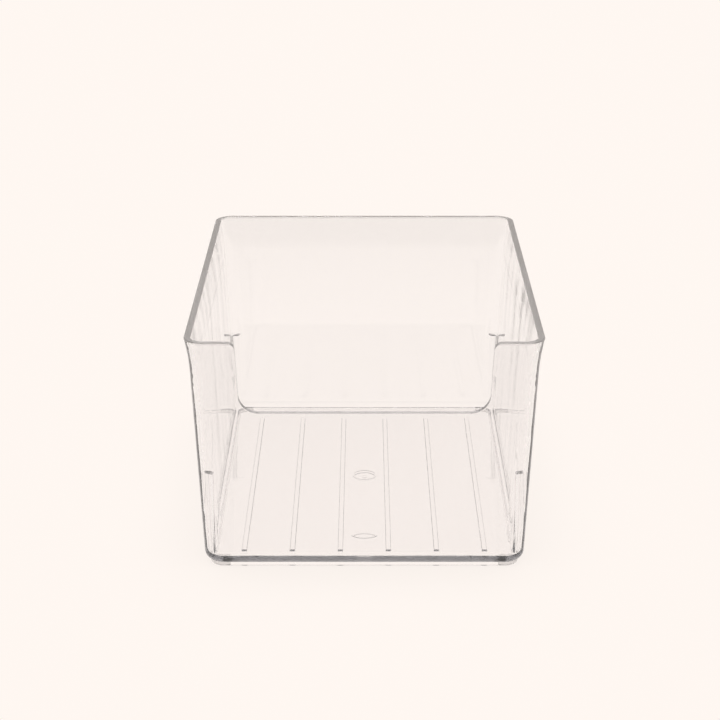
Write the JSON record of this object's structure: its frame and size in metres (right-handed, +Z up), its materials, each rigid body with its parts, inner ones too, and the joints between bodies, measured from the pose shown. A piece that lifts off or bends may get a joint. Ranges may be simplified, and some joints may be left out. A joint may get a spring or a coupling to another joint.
{
  "type": "open-front fridge bin",
  "caption": "Clear open-front fridge bin: drafted rectangular tray with a low dip in its front wall, flared rim, ribbed floor and corner ledges, on corner feet.",
  "frame": {"origin": "on the surface the bin stands on, under the middle of the rim", "axes": "+Z up, -Y towards the open front, X across the bin"},
  "size_m": [0.1598, 0.2078, 0.112],
  "materials": {
    "clear_plastic": "gloss",
    "clear_foot": "satin"
  },
  "bodies": {
    "root": {"bin_shell": "clear_plastic", "foot_front_left": "clear_foot", "foot_front_right": "clear_foot", "foot_rear_left": "clear_foot", "foot_rear_right": "clear_foot"}
  },
  "joints": []
}
